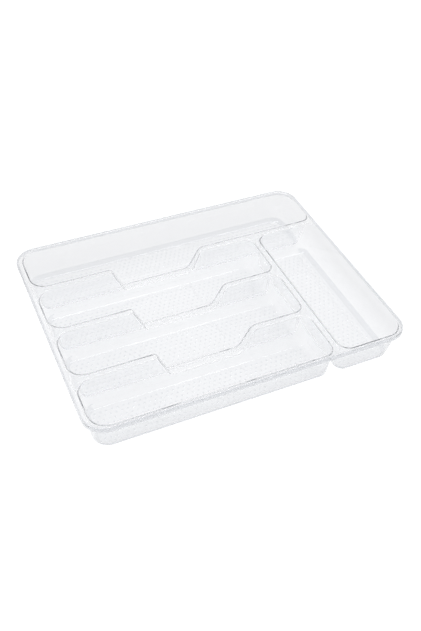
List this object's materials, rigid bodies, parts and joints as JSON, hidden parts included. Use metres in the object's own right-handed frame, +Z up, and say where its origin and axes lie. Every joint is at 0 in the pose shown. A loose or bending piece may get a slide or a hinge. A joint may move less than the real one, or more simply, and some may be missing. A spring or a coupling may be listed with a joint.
{
  "type": "cutlery tray",
  "caption": "Clear plastic drawer cutlery tray: long compartments with lowered dividers, one across the back, one running front to back at the side.",
  "frame": {"origin": "on the base, under the middle of the tray's outline", "axes": "+X to the right along the long rear compartment, +Y to the back, +Z up"},
  "size_m": [0.39, 0.3066, 0.045],
  "materials": {
    "clear_plastic": "clear gloss"
  },
  "bodies": {
    "root": {"rim": "clear_plastic", "left_wall": "clear_plastic", "right_wall": "clear_plastic", "back_wall": "clear_plastic", "front_wall": "clear_plastic", "rear_divider_left": "clear_plastic", "rear_divider_saddle": "clear_plastic", "rear_divider_right": "clear_plastic", "middle_divider_left": "clear_plastic", "middle_divider_saddle": "clear_plastic", "middle_divider_right": "clear_plastic", "front_divider_left": "clear_plastic", "front_divider_saddle": "clear_plastic", "front_divider_right": "clear_plastic", "cross_divider": "clear_plastic", "rear_floor": "clear_plastic", "second_floor": "clear_plastic", "third_floor": "clear_plastic", "front_floor": "clear_plastic", "side_floor": "clear_plastic"}
  },
  "joints": []
}
